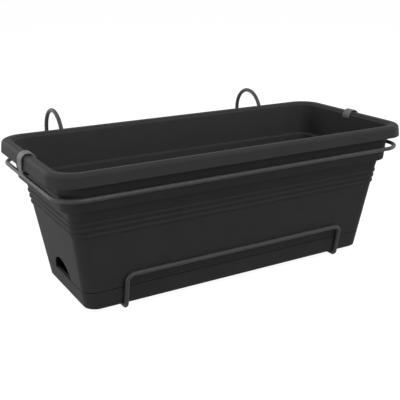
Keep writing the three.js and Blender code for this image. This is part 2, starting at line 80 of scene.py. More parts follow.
LOG = logging.getLogger("planter")
MM = 0.001
QUARTER = math.pi / 2
END_RINGS = 4  # in the rounded end of a wire
QUAD = 4  # the corners of each face along a wire, of which its caps have more
FIT_GAP = 0.3 * MM  # between pieces that touch
OVERCUT = 1.0 * MM  # by which a cutter runs past the face that it starts from
JOIN = 0.02 * MM  # within which corners are joined where a wire closes
SAME = 0.001 * MM  # within which corners are one and the same
CREASE = 0.25 * MM  # half of the band that takes the place of a crease
SHARP_ANGLE = math.radians(38.0)  # a crease above it is shaded as an edge
SOFT_ANGLE = math.radians(4.0)  # a crease below it needs no band
LONG_FACE = 3.0  # the shortest face with room for a band, in half bands
NOISE_LOW, NOISE_HIGH = 0.3, 0.7  # the range in which nearly all of a noise lies
WHITE = (1.0, 1.0, 1.0, 1.0)


class Body(Enum):
    """The bodies of the planter that move by themselves."""

    PLANTER = "planter"
    CLIP_LEFT = "clip_left"
    CLIP_RIGHT = "clip_right"


class Cut(Enum):
    """How one solid is worked into another."""

    ADD = "UNION"
    TAKE = "DIFFERENCE"


class Side(Enum):
    """The two ends of the planter, by the sign of X."""

    LEFT = -1
    RIGHT = 1


# ---- drawing out solids
@dataclass(frozen=True)
class Plan:
    """A level section of a moulding: a rectangle with round corners, by its half sizes."""

    x: float
    y: float
    z: float
    corner: float

    def reach(self, other: "Plan") -> float:
        """Finds how far away another section lies, along the moulding's face."""
        return math.hypot(other.x - self.x, other.z - self.z)

    def slope(self, other: "Plan") -> float:
        """Finds the slope of the moulding's face on the way to another section."""
        return math.atan2(other.z - self.z, other.x - self.x)

    def turn(self, before: "Plan", after: "Plan") -> float:
        """Measures the angle by which the face turns here, between two neighbours."""
        return abs(math.remainder(self.slope(after) - before.slope(self), 2 * math.pi))

    def toward(self, other: "Plan", distance: float) -> "Plan":
        """Finds the section at a distance on the way to another one."""
        share = distance / self.reach(other)
        return Plan(*(a + (b - a) * share for a, b in zip(astuple(self), astuple(other))))


def creased(plans: list[Plan]) -> list[Plan]:
    """Turns each crease between two long faces into a narrow band, which shades crisply.

    Args:
        plans: The sections of a moulding, in order.

    Returns:
        The sections with the bands.
    """
    result = [plans[0]]
    for before, here, after in zip(plans, plans[1:], plans[2:]):
        room = min(here.reach(before), here.reach(after)) > LONG_FACE * CREASE
        if room and here.turn(before, after) > SOFT_ANGLE:
            result += [here.toward(before, CREASE), here.toward(after, CREASE)]
        else:
            result.append(here)
    return [*result, plans[-1]]


def to_object(name: str, mesh: BMesh) -> Object:
    """Makes an object of a mesh, at the origin, with its place in its mesh.

    Args:
        name: The object's name.
        mesh: The mesh, which is freed.

    Returns:
        The object.
    """
    data = bpy.data.meshes.new(name)
    mesh.to_mesh(data)
    mesh.free()
    made = bpy.data.objects.new(name, data)
    bpy.context.scene.collection.objects.link(made)
    return made


def to_solid(name: str, mesh: BMesh) -> Object:
    """Turns a closed mesh's faces outwards and makes it an object."""
    bmesh.ops.recalc_face_normals(mesh, faces=mesh.faces[:])
    return to_object(name, mesh)


def bevel(mesh: BMesh, parts: list, radius: float, steps: int, **how: object) -> None:
    """Rounds corners or edges of a mesh by a radius, in steps."""
    shape = {"offset_type": "OFFSET", "profile": 0.5, "material": -1}
    bmesh.ops.bevel(mesh, geom=parts, offset=radius, segments=steps, **shape, **how)


class Drawn:
    """A closed solid that is drawn out of its own end face, stretch by stretch."""

    def __init__(self) -> None:
        """Starts with an empty mesh."""
        self.mesh = bmesh.new()
        self.end: bmesh.types.BMFace | None = None
        self.stretches = 0

    def lay(self, place: Matrix, radius: float, steps: int) -> None:
        """Lays down a rectangle with round corners as the end face.

        Args:
            place: Where the square of half size 1 goes, with its turn and its stretch.
            radius: The radius of its corners.
            steps: The number of facets in each corner.
        """
        made = bmesh.ops.create_grid(self.mesh, x_segments=1, y_segments=1, size=1.0, matrix=place)
        bevel(self.mesh, made["verts"], radius, steps, affect="VERTICES", clamp_overlap=False)
        self.take_end()

    def take_end(self) -> None:
        """Takes the mesh's only face as the end face."""
        self.mesh.faces.ensure_lookup_table()
        self.end = self.mesh.faces[0]

    def draw(self) -> list[bmesh.types.BMVert]:
        """Draws a fresh end face out of the last one.

        Returns:
            Its corners, still in the place of the last ones.
        """
        made = bmesh.ops.extrude_face_region(self.mesh, geom=[self.end])
        fresh = next(part for part in made["geom"] if isinstance(part, bmesh.types.BMFace))
        if self.stretches:
            bmesh.ops.delete(self.mesh, geom=[self.end], context="FACES_ONLY")
        self.end = fresh
        self.stretches += 1
        return list(fresh.verts)

    def finish(self, name: str) -> Object:
        """Makes the solid a smooth object, by its name."""
        return smooth(to_solid(name, self.mesh))


class Loft(Drawn):
    """A moulding drawn from one level section to the next, corner by corner."""

    def __init__(self, plans: list[Plan], middle: Vector, steps: int) -> None:
        """Draws the moulding.

        Args:
            plans: Its sections, in order.
            middle: Its axis, of which X and Y are read.
            steps: The number of facets in each round corner.
        """
        super().__init__()
        self.middle = Vector((middle.x, middle.y, 0.0))
        first = plans[0]
        place = Matrix.Translation(self.middle + Vector((0.0, 0.0, first.z)))
        stretch = Matrix.Diagonal((first.x, first.y, 1.0, 1.0))
        self.lay(place @ stretch, first.corner, steps)
        for last, plan in zip(plans, plans[1:]):
            corners = [(corner, corner.co - self.middle) for corner in self.draw()]
            scale = plan.corner / last.corner
            for x, y in product((-1, 1), repeat=2):
                quarter = [corner for corner, at in corners if at.x * x > 0 and at.y * y > 0]
                move = (
                    Matrix.Translation(self._centre(plan, x, y))
                    @ Matrix.Diagonal((scale, scale, 1.0, 1.0))
                    @ Matrix.Translation(-self._centre(last, x, y))
                )
                bmesh.ops.transform(self.mesh, matrix=move, verts=quarter)

    def _centre(self, plan: Plan, x: int, y: int) -> Vector:
        """Finds the centre of a section's round corner, by the signs of its X and Y."""
        away = ((plan.x - plan.corner) * x, (plan.y - plan.corner) * y, plan.z)
        return self.middle + Vector(away)


class Bender(Drawn):
    """A wire or strip that is fed forward and bent, as on a bending machine."""

    def __init__(self, start: Vector, heading: Vector, across: Vector) -> None:
        """Sets the machine at the stock's first end.

        Args:
            start: The middle of that end.
            heading: Where the stock is fed to.
            across: The direction of the section's width.
        """
        super().__init__()
        self.place = start.copy()
        self.heading = heading.normalized()
        self.across = across.normalized()

    def _stand(self) -> Matrix:
        """Finds how a flat section stands square to the heading at the present place."""
        turn = Matrix((self.across, self.heading.cross(self.across), self.heading)).transposed()
        return Matrix.Translation(self.place) @ turn.to_4x4()

    def round_stock(self, diameter: float, sides: int, end_round: float) -> None:
        """Takes round wire, with its first end rounded over.

        Args:
            diameter: The wire's diameter.
            sides: The number of facets round it.
            end_round: The end's own radius, or 0 for an end that is joined up.
        """
        radius = diameter / 2
        bmesh.ops.create_circle(
            self.mesh, cap_ends=True, segments=sides, radius=radius, matrix=self._stand()
        )
        self.take_end()
        if end_round:
            turns = [QUARTER * ring / END_RINGS for ring in range(END_RINGS + 1)]
            sizes = [(radius - end_round + end_round * math.sin(turn)) / radius for turn in turns]
            self.swell(sizes[0])
            for first, second, narrow, wide in zip(turns, turns[1:], sizes, sizes[1:]):
                self.feed(end_round * (math.cos(first) - math.cos(second)))
                self.swell(wide / narrow)

    def flat_stock(self, width: float, thickness: float, edge: float, steps: int) -> None:
        """Takes flat strip with rounded long edges, by its sizes."""
        stretch = Matrix.Diagonal((width / 2, thickness / 2, 1.0, 1.0))
        self.lay(self._stand() @ stretch, edge, steps)

    def swell(self, factor: float) -> None:
        """Scales the end face about the present place.

        Args:
            factor: The scale.
        """
        about = Matrix.Translation(self.place) @ Matrix.Scale(factor, 4)
        move = about @ Matrix.Translation(-self.place)
        bmesh.ops.transform(self.mesh, matrix=move, verts=list(self.end.verts))

    def feed(self, length: float) -> None:
        """Feeds the stock straight on, by a length."""
        bmesh.ops.translate(self.mesh, vec=self.heading * length, verts=self.draw())
        self.place += self.heading * length

    def bend(self, axis: Vector, radius: float, angle: float, steps: int) -> None:
        """Bends the stock round a centre that lies square to the heading.

        Args:
            axis: The axis, by the right-hand rule.
            radius: The radius of the centre line.
            angle: The angle, in radians.
            steps: The number of stretches.
        """
        axis = axis.normalized()
        centre = self.place + axis.cross(self.heading) * radius
        turn = Matrix.Rotation(angle / steps, 4, axis)
        about = Matrix.Translation(centre) @ turn @ Matrix.Translation(-centre)
        for _ in range(steps):
            corners = self.draw()
            bmesh.ops.transform(self.mesh, matrix=about, verts=corners)
            self.place = about @ self.place
            self.heading = turn.to_3x3() @ self.heading
            self.across = turn.to_3x3() @ self.across

    def close(self) -> None:
        """Joins the last end to the first, as a welded ring."""
        caps = [face for face in self.mesh.faces if len(face.verts) > QUAD]
        bmesh.ops.delete(self.mesh, geom=caps, context="FACES_ONLY")
        bmesh.ops.remove_doubles(self.mesh, verts=self.mesh.verts[:], dist=JOIN)

    def mirror_in_x(self) -> None:
        """Mirrors the half that was bent, and joins the halves where they meet."""
        bmesh.ops.delete(self.mesh, geom=[self.end], context="FACES_ONLY")
        everything = self.mesh.verts[:] + self.mesh.edges[:] + self.mesh.faces[:]
        bmesh.ops.mirror(
            self.mesh, geom=everything, matrix=Matrix.Identity(4), merge_dist=JOIN, axis="X"
        )
        bmesh.ops.remove_doubles(self.mesh, verts=self.mesh.verts[:], dist=JOIN)


# ---- working on objects
def smooth(piece: Object) -> Object:
    """Shades a piece smooth, with its sharp edges kept and its large faces flat.

    Args:
        piece: The piece.

    Returns:
        The same piece.
    """
    piece.data.shade_smooth()
    piece.data.set_sharp_from_angle(angle=SHARP_ANGLE)
    if "flat_faces" not in piece.modifiers:
        weighting = piece.modifiers.new("flat_faces", "WEIGHTED_NORMAL")
        weighting.mode = "FACE_AREA"
        weighting.keep_sharp = True
    return piece


def cone_tool(place: Matrix, radii: tuple[float, float], depth: float, sides: int) -> Object:
    """Makes a cone that a piece is joined with or cut by.

    Args:
        place: Where its middle lies, with its turn and its stretch.
        radii: Its radii at the foot and at the top.
        depth: Its height.
        sides: The number of its sides.

    Returns:
        The tool.
    """
    mesh = bmesh.new()
    foot, top = radii
    bmesh.ops.create_cone(
        mesh, cap_ends=True, segments=sides, radius1=foot, radius2=top, depth=depth, matrix=place
    )
    return to_solid("tool", mesh)


def box_tool(place: Matrix, size: tuple[float, float, float]) -> Object:
    """Makes a box that a piece is cut by.

    Args:
        place: Where its middle lies, with its turn.
        size: Its three lengths.

    Returns:
        The tool.
    """
    mesh = bmesh.new()
    bmesh.ops.create_cube(mesh, size=1.0, matrix=place @ Matrix.Diagonal((*size, 1.0)))
    return to_solid("tool", mesh)


def work(piece: Object, tools: list[Object], how: Cut) -> None:
    """Joins tools to a piece or cuts it by them, and throws them away.

    Args:
        piece: The piece.
        tools: The tools.
        how: Whether they add or take away.
    """
    piece.modifiers.clear()
    for tool in tools:
        step = piece.modifiers.new(tool.name, "BOOLEAN")
        step.operation = how.value
        step.solver = "EXACT"
        step.object = tool
    bpy.context.view_layer.update()
    result = piece.evaluated_get(bpy.context.evaluated_depsgraph_get())
    before = piece.data
    made = bpy.data.meshes.new_from_object(result)
    piece.modifiers.clear()
    piece.data = made
    made.name = piece.name
    bpy.data.meshes.remove(before)
    for tool in tools:
        bpy.data.objects.remove(tool)
    smooth(piece)


# ---- finishes
class Graph:
    """Short ways to build the nodes of a material or of the world."""

    def __init__(self, owner: bpy.types.Material | bpy.types.World) -> None:
        """Starts with the nodes that a fresh owner has."""
        owner.use_nodes = True
        self.tree = owner.node_tree

    def fill(self, name: str, inputs: Inputs) -> bpy.types.Node:
        """Sets or links the inputs of a node.

        Args:
            name: The node's name.
            inputs: The value or the socket for each input.

        Returns:
            The node.
        """
        node = self.tree.nodes[name]
        for key, value in inputs.items():
            if isinstance(value, Socket):
                self.tree.links.new(value, node.inputs[key])
            else:
                node.inputs[key].default_value = value
        return node

    def add(self, kind: str, inputs: Inputs, **settings: str) -> bpy.types.Node:
        """Adds a node.

        Args:
            kind: The end of its type's name.
            inputs: The value or the socket for each input.
            **settings: Its choices.

        Returns:
            The node.
        """
        node = self.tree.nodes.new(f"ShaderNode{kind}")
        for name, choice in settings.items():
            setattr(node, name, choice)
        return self.fill(node.name, inputs)

    def noise(self, size: float, detail: float, roughness: float = 0.5) -> Socket:
        """Adds cloudy noise in the piece's own space.

        Args:
            size: The size of its largest spots, in metres.
            detail: The number of finer layers.
            roughness: The weight of the finer layers.

        Returns:
            Its grey value.
        """
        place = self.add("TexCoord", {}).outputs["Object"]
        inputs = {"Vector": place, "Scale": 1 / size, "Detail": detail, "Roughness": roughness}
        return self.add("TexNoise", inputs).outputs["Fac"]

    def span(self, value: Socket, low: float, high: float) -> Socket:
        """Stretches noise from its usual range to run between two numbers."""
        ends = {"From Min": NOISE_LOW, "From Max": NOISE_HIGH, "To Min": low, "To Max": high}
        return self.add("MapRange", {"Value": value, **ends}).outputs["Result"]

    def tint(self, clouds: Socket, dark: Color, light: Color) -> Socket:
        """Adds a colour that drifts from a dark one to a light one with a noise."""
        inputs = {"Factor": self.span(clouds, 0.0, 1.0), "A": (*dark, 1.0), "B": (*light, 1.0)}
        return self.add("Mix", inputs, data_type="RGBA").outputs["Result"]

    def bump(self, height: Socket, depth: float, **below: Socket) -> Socket:
        """Adds relief of a depth in metres, on top of the relief below it."""
        inputs = {"Strength": 1.0, "Distance": depth, "Height": height}
        return self.add("Bump", inputs | below).outputs["Normal"]

    def seen(self) -> Socket:
        """Tells what is seen, mirrored or seen through from what only gives light.

        Returns:
            The value, which is 1 for the first and 0 for the second.
        """
        path = self.add("LightPath", {}).outputs
        result = path["Is Camera Ray"]
        for ray in ("Is Glossy Ray", "Is Transmission Ray"):
            either = self.add("Math", {0: result, 1: path[ray]}, operation="MAXIMUM")
            result = either.outputs["Value"]
        return result


@dataclass(frozen=True)
class Finish:
    """What all finishes share: a drifting colour, a speckled roughness and a relief."""

    slot: str
    dark: Color
    light: Color
    roughness: float = 0.6
    roughness_swing: float = 0.04
    specular: float = 0.04
    clouds: float = 28 * MM
    speckle: float = 0.99 * MM

    def relief(self, graph: Graph) -> Socket:
        """Adds the relief, which is each kind's own."""
        raise NotImplementedError

    @cache
    def build(self) -> bpy.types.Material:
        """Builds the material, once.

        Returns:
            The material, by the name of its slot.
        """
        material = bpy.data.materials.new(self.slot)
        graph = Graph(material)
        low, high = self.roughness - self.roughness_swing, self.roughness + self.roughness_swing
        inputs = {
            "Base Color": graph.tint(graph.noise(self.clouds, detail=3.0), self.dark, self.light),
            "Roughness": graph.span(graph.noise(self.speckle, detail=2.0), low, high),
            "Normal": self.relief(graph),
            "Specular IOR Level": self.specular,
        }
        graph.fill("Principled BSDF", inputs)
        return material


@dataclass(frozen=True)
class Moulded(Finish):
    """Moulded plastic: an even colour, a fine eroded grain and the faint waves of a cooled wall."""

    grain: float = 0.45 * MM
    grain_depth: float = 0.02 * MM
    grain_roughness: float = 0.6
    wave: float = 55 * MM
    wave_depth: float = 0.12 * MM

    def relief(self, graph: Graph) -> Socket:
        """Adds the waves, and the grain on top of them."""
        wall = graph.bump(graph.noise(self.wave, detail=1.0), self.wave_depth)
        grain = graph.noise(self.grain, detail=2.0, roughness=self.grain_roughness)
        return graph.bump(grain, self.grain_depth, Normal=wall)


@dataclass(frozen=True)
class PowderCoat(Finish):
    """Powder coat on steel wire: satin, with the slight orange peel of a baked coat."""

    roughness: float = 0.5
    roughness_swing: float = 0.05
    specular: float = 0.17
    clouds: float = 6 * MM
    speckle: float = 2.5 * MM
    peel: float = 1.6 * MM
    peel_depth: float = 0.03 * MM

    def relief(self, graph: Graph) -> Socket:
        """Adds the orange peel."""
        return graph.bump(graph.noise(self.peel, detail=1.5), self.peel_depth)


def dress(piece: Object, finish: Finish, body: Body) -> None:
    """Gives a piece its finish and the body that it moves with.

    Args:
        piece: The piece.
        finish: The finish on all of it.
        body: The body that it rides on.
    """
    piece.data.materials.clear()
    piece.data.materials.append(finish.build())
    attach(piece, body.value)
    LOG.info("%s: %d faces, rides on %s", piece.name, len(piece.data.polygons), body.value)


TROUGH_PLASTIC = Moulded("trough_plastic", (0.0265, 0.0265, 0.027), (0.0295, 0.0295, 0.03))
TRAY_PLASTIC = Moulded("tray_plastic", (0.0255, 0.0255, 0.026), (0.0285, 0.0285, 0.029))
CLIP_PLASTIC = Moulded(
    "clip_plastic",
    (0.108, 0.109, 0.11),
    (0.122, 0.123, 0.124),
    roughness=0.45,
    wave_depth=0.04 * MM,
)
COATED_WIRE = PowderCoat("coated_wire", (0.034, 0.0343, 0.035), (0.04, 0.0403, 0.041))


# ---- mouldings
@dataclass
class Trough:
    """The moulded trough, by the sizes of its section. Heights are above the tray's underside."""

    rim_drop: float = 15.6 * MM
    rim_round: float = 5.0 * MM
    rim_lean: float = 1.0 * MM
    rim_land: float = 11.5 * MM
    crest_dip: float = 0.7 * MM
    crest_swell: float = 0.1 * MM
    lip_height: float = 3.2 * MM
    lip_run: float = 3.4 * MM
    crest_edge: float = 0.8 * MM
    top_wall: float = 2.8 * MM
    hollow_edge: float = 3.0 * MM
    rim_corner: float = 31.0 * MM
    collar_corner: float = 21.0 * MM
    collar_setback: float = 13.6 * MM
    collar_draft: float = math.radians(4.95)
    collar_foot_round: float = 2.2 * MM
    collar_rise: float = 4.0 * MM
    blend_drop: float = 12.0 * MM
    ledge_height: float = 127.2 * MM
    ledge_side: float = 6.6 * MM
    ledge_end: float = 7.9 * MM
    side_draft: float = math.radians(8.04)
    end_draft: float = math.radians(8.35)
    wall_corner: float = 16.0 * MM
    wall: float = 2.2 * MM
    bead_count: int = 3
    bead_first: float = 16.0 * MM
    bead_pitch: float = 7.3 * MM
    bead_height: float = 5.0 * MM
    bead_proud: float = 1.5 * MM
    step_fillet: float = 0.8 * MM
    ledge_edge: float = 1.0 * MM
    seam_edge: float = 0.8 * MM
    floor_underside: float = 46.0 * MM
    floor: float = 2.3 * MM
    floor_fillet: float = 4.0 * MM
    floor_root: float = 2.0 * MM
    tray_height: float = 22.6 * MM
    tray_floor: float = 2.2 * MM
    well_spacing: float = 220.0 * MM
    well_diameter: float = 40.0 * MM
    well_draft: float = 3.0 * MM
    well_slots: int = 8
    well_sides: int = 64
    slot_width: float = 3.0 * MM
    slot_height: float = 14.0 * MM
    slot_rise: float = 1.0 * MM
    drain_diameter: float = 7.0 * MM
    drain_pitch: float = 60.0 * MM
    drain_row: float = 50.0 * MM
    drain_columns: int = 7
    drain_sides: int = 32
    moon_width: float = 52.0 * MM
    moon_height: float = 20.6 * MM
    moon_depth: float = 30.0 * MM
    moon_sides: int = 72
    moon_edge: float = 0.5 * MM
    edge_steps: int = 3
    edge_turn: float = 1.0  # radians
    brow: float = 0.7 * MM
    corner_steps: int = 20
    round_steps: int = 6

    def __post_init__(self) -> None:
        """Reads the trough's place and its largest sizes from the frame."""
        low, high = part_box("trough")
        self.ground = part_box("water_tray")[0].z
        self.middle = (low + high) / 2
        self.half_x = (high.x - low.x) / 2
        self.half_y = (high.y - low.y) / 2
        self.top = high.z - self.ground
        self.rim_foot = self.top - self.rim_drop
        self.skirt_foot = self.tray_height + FIT_GAP
        self.floor_top = self.floor_underside + self.floor
        self.ledge_top = self.ledge_height + self.wall
        self.crest = self.top - self.crest_dip
        self.collar_foot = self.collar_at(self.ledge_height)
        self.corner_loss = (self.rim_corner - self.collar_corner) / self.collar_foot

    def collar_at(self, height: float) -> float:
        """Finds how far the collar lies inside the rim's face, at a height."""
        return self.collar_setback + (self.rim_foot - height) * math.tan(self.collar_draft)

    def rim_plan(self, setback: float, height: float) -> Plan:
        """Finds a section that lies inside the rim's face, at a height."""
        corner = self.rim_corner - setback * self.corner_loss
        return Plan(self.half_x - setback, self.half_y - setback, self.ground + height, corner)

    def wall_plan(self, height: float, offset: float = 0.0) -> Plan:
        """Finds a section along the tapered wall.

        Args:
            height: Its height.
            offset: How far it lies outside the wall's outer face.

        Returns:
            The section.
        """
        below = self.ledge_height - height
        x = self.half_x - self.collar_foot - self.ledge_end - below * math.tan(self.end_draft)
        y = self.half_y - self.collar_foot - self.ledge_side - below * math.tan(self.side_draft)
        return Plan(x + offset, y + offset, self.ground + height, self.wall_corner + offset)

    def edge(self, radius: float) -> list[tuple[float, float]]:
        """Finds how far a rounded edge lies from both its faces, from the first to the second."""
        angles = [QUARTER * step / self.round_steps for step in range(self.round_steps + 1)]
        return [(radius * (1 - math.cos(a)), radius * (1 - math.sin(a))) for a in angles]

    def fillet(self, floor: float, radius: float) -> list[Plan]:
        """Finds the sections of the fillet between a floor and the wall."""
        return [self.wall_plan(floor + up, -inset - self.wall) for up, inset in self.edge(radius)]

    def inside(self) -> list[Plan]:
        """Finds the sections of the planting space.

        Returns:
            The sections, from the floor up to the crest.
        """
        wall, ledge_top = self.wall, self.ledge_top
        plans = self.fillet(self.floor_top, self.floor_fillet)
        for out, down in self.edge(self.ledge_edge):
            plans.append(self.wall_plan(ledge_top - down, out - wall))
        for up, inset in self.edge(2 * self.step_fillet):
            height = ledge_top + up
            plans.append(self.rim_plan(self.collar_at(height) + wall + inset, height))
        lip_foot = self.crest - self.lip_height
        low = self.rim_foot - self.blend_drop
        lean = self.rim_land + self.lip_run - self.collar_at(lip_foot) - wall
        for step in range(self.round_steps + 1):
            share = step / self.round_steps
            height = low + (lip_foot - low) * share
            straight = self.collar_at(height) + wall
            plans.append(self.rim_plan(straight + lean * share**2, height))
        for out, down in self.edge(self.crest_edge):
            away = self.rim_land + (self.crest_edge - out) / 2
            plans.append(self.rim_plan(away, self.crest - down))
        return plans

    def outside(self) -> list[Plan]:
        """Finds the sections of the outer face and of the skirt's inside.

        Returns:
            The sections, from the crest down to the skirt's foot and up to the raised floor.
        """
        foot, wall = self.rim_foot, self.wall
        height = self.crest + self.crest_swell
        plans = [self.rim_plan(self.rim_land - self.crest_edge, height)]
        for down, away in self.edge(self.rim_round):
            plans.append(self.rim_plan(self.rim_lean + away, self.top - down))
        for away, up in self.edge(self.brow):
            plans.append(self.rim_plan(away, foot + up))
        hollow = self.top - self.top_wall
        rise = foot + self.collar_rise
        plans += [
            self.rim_plan(wall - self.brow / 2, foot),
            self.rim_plan(wall, foot + self.brow / 2),
            self.rim_plan(wall, hollow - self.hollow_edge),
            self.rim_plan(wall + self.hollow_edge, hollow),
            self.rim_plan(self.rim_land - wall / 2, hollow),
            self.rim_plan(self.collar_at(rise), rise),
        ]
        for away, up in self.edge(self.collar_foot_round):
            height = self.ledge_height + up
            plans.append(self.rim_plan(self.collar_at(height) + away, height))
        for out, down in self.edge(self.step_fillet):
            plans.append(self.wall_plan(self.ledge_height - self.step_fillet + down, out))
        plans += self._beads()
        plans += [
            self.wall_plan(self.skirt_foot + self.seam_edge),
            self.wall_plan(self.skirt_foot + self.seam_edge / 4, -self.seam_edge / 4),
            self.wall_plan(self.skirt_foot, -self.seam_edge),
            self.wall_plan(self.skirt_foot, -wall),
            self.wall_plan(self.floor_underside - self.floor_root, -wall),
            self.wall_plan(self.floor_underside, -wall - self.floor_root),
        ]
        return plans

    def _beads(self) -> list[Plan]:
        """Finds the sections of the beads that run round the wall.

        Returns:
            The sections, from the highest bead down.
        """
        plans = []
        steps = 2 * self.round_steps
        for bead in range(self.bead_count):
            middle = self.ledge_height - self.bead_first - bead * self.bead_pitch
            for step in range(steps + 1):
                share = math.cos(math.pi * step / steps)
                proud = self.bead_proud * math.sqrt(max(1 - share * share, 0.0))
                plans.append(self.wall_plan(middle + share * self.bead_height / 2, proud))
        return plans

    def at(self, x: float, y: float, height: float) -> Matrix:
        """Finds a place, from the trough's axis and the tray's underside."""
        return Matrix.Translation((self.middle.x + x, self.middle.y + y, self.ground + height))

    def _cone(self, x: float, shrink: float, low: float, high: float) -> Object:
        """Makes one root well's outer or inner shape.

        Args:
            x: Its place along the trough.
            shrink: How far it lies inside the well's outer face.
            low: Its foot's height.
            high: Its top's height.

        Returns:
            The tool.
        """
        slope = self.well_draft / 2 / (self.floor_top - self.tray_floor - FIT_GAP)
        radius = self.well_diameter / 2 - shrink
        radii = tuple(radius - (self.floor_top - height) * slope for height in (low, high))
        place = self.at(x, 0.0, (low + high) / 2)
        return cone_tool(place, radii, high - low, self.well_sides)

    def _drain(self, x: float, y: float) -> Object:
        """Makes a drill through the raised floor, by its place from the trough's axis."""
        radius, place = self.drain_diameter / 2, self.at(x, y, self.floor_top - self.floor / 2)
        return cone_tool(place, (radius, radius), 3 * self.floor, self.drain_sides)

    def _cutters(self, wells: list[float]) -> list[Object]:
        """Makes all that the trough is cut by: well bores, slots, drains and half-moons.

        Args:
            wells: The wells' places along the trough.

        Returns:
            The tools.
        """
        foot = self.tray_floor + FIT_GAP + self.wall
        tools = [self._cone(x, self.wall, foot, self.floor_top + OVERCUT) for x in wells]
        size = (self.well_diameter + 2 * OVERCUT, self.slot_width, self.slot_height)
        height = foot + self.slot_rise + self.slot_height / 2
        for x, slot in product(wells, range(self.well_slots // 2)):
            turn = Matrix.Rotation((slot + 0.5) / self.well_slots * 2 * math.pi, 4, "Z")
            tools.append(box_tool(self.at(x, 0.0, height) @ turn, size))
        for column in range(self.drain_columns):
            x = (column - (self.drain_columns - 1) / 2) * self.drain_pitch
            tools += [self._drain(x, row * self.drain_row) for row in (-1, 1)]
        turn = Matrix.Rotation(QUARTER, 4, "Y")
        stretch = Matrix.Diagonal((self.moon_height, self.moon_width / 2, self.moon_depth, 1.0))
        for side in Side:
            end = self.at(self.wall_plan(self.skirt_foot).x * side.value, 0.0, self.skirt_foot)
            tools.append(cone_tool(end @ turn @ stretch, (1.0, 1.0), 1.0, self.moon_sides))
        return tools

    def _soften_moons(self, piece: Object) -> None:
        """Rounds the outer edge of each half-moon.

        Args:
            piece: The trough.
        """
        mesh = bmesh.new()
        mesh.from_mesh(piece.data)
        bmesh.ops.remove_doubles(mesh, verts=mesh.verts[:], dist=SAME)
        foot = self.ground + self.skirt_foot
        face_x = self.wall_plan(self.skirt_foot).x
        rims = []
        for edge in mesh.edges:
            place = (edge.verts[0].co + edge.verts[1].co) / 2
            away = place - self.middle
            inner = abs(away.y) < self.moon_width / 2 + CREASE
            outer = abs(away.x) > face_x - OVERCUT
            low = foot + self.seam_edge < place.z < foot + self.moon_height + OVERCUT
            square = edge.is_manifold and edge.calc_face_angle(0.0) > self.edge_turn
            if inner and outer and low and square:
                rims.append(edge)
        bevel(mesh, rims, self.moon_edge, self.edge_steps, affect="EDGES", clamp_overlap=True)
        mesh.to_mesh(piece.data)
        mesh.free()
        smooth(piece)

    def build(self) -> None:
        """Builds the trough."""
        plans = creased(self.inside() + self.outside())
        piece = Loft(plans, self.middle, self.corner_steps).finish("trough_moulding")

        wells = [side.value * self.well_spacing / 2 for side in Side]
        low, high = self.tray_floor + FIT_GAP, self.floor_top - self.floor / 2
        work(piece, [self._cone(x, 0.0, low, high) for x in wells], Cut.ADD)
        work(piece, self._cutters(wells), Cut.TAKE)
        self._soften_moons(piece)
        dress(piece, TROUGH_PLASTIC, Body.PLANTER)
        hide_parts("trough")


@dataclass
class WaterTray:
    """The shallow tray that the trough's skirt stands on, cut from the same taper."""

    trough: Trough
    edge_round: float = 1.6 * MM
    tongue_height: float = 4.5 * MM
    tongue_wall: float = 1.5 * MM
    tongue_root: float = 3.0 * MM
    tongue_lead: float = 0.6 * MM
    floor_fillet: float = 3.0 * MM
    notch_room: float = 1.0 * MM
    notch_depth: float = 12.0 * MM
    seam_slit: float = 0.4 * MM

    def _plans(self) -> list[Plan]:
        """Finds the tray's sections.

        Returns:
            The sections, from its floor over its edge to its underside.
        """
        trough, section = self.trough, self.trough.wall_plan
        height, wall, seam = trough.tray_height, trough.wall, trough.seam_edge
        landing = height - self.seam_slit
        tongue_top = height + self.tongue_height
        outer = -(wall + FIT_GAP)
        inner = outer - self.tongue_wall
        root = height - self.tongue_root
        return [
            *trough.fillet(trough.tray_floor, self.floor_fillet),
            section(root + inner + wall, -wall),
            section(root, inner),
            section(tongue_top - self.tongue_lead / 2, inner),
            section(tongue_top, inner + self.tongue_lead / 2),
            section(tongue_top, outer - self.tongue_lead),
            section(tongue_top - self.tongue_lead, outer),
            section(landing, outer),
            section(landing, -seam),
            section(landing - seam / 4, -seam / 4),
            section(landing - seam),
            *(section(up, -away) for away, up in trough.edge(self.edge_round)),
        ]

    def build(self) -> None:
        """Builds the tray."""
        trough = self.trough
        loft = Loft(creased(self._plans()), trough.middle, trough.corner_steps)
        piece = loft.finish("water_tray_moulding")
        height = self.tongue_height + OVERCUT
        size = (self.notch_depth, trough.moon_width + 2 * self.notch_room, height)
        ends = [trough.wall_plan(trough.tray_height).x * side.value for side in Side]
        places = [trough.at(x, 0.0, trough.tray_height + height / 2) for x in ends]
        work(piece, [box_tool(place, size) for place in places], Cut.TAKE)
        dress(piece, TRAY_PLASTIC, Body.PLANTER)
        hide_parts("water_tray")


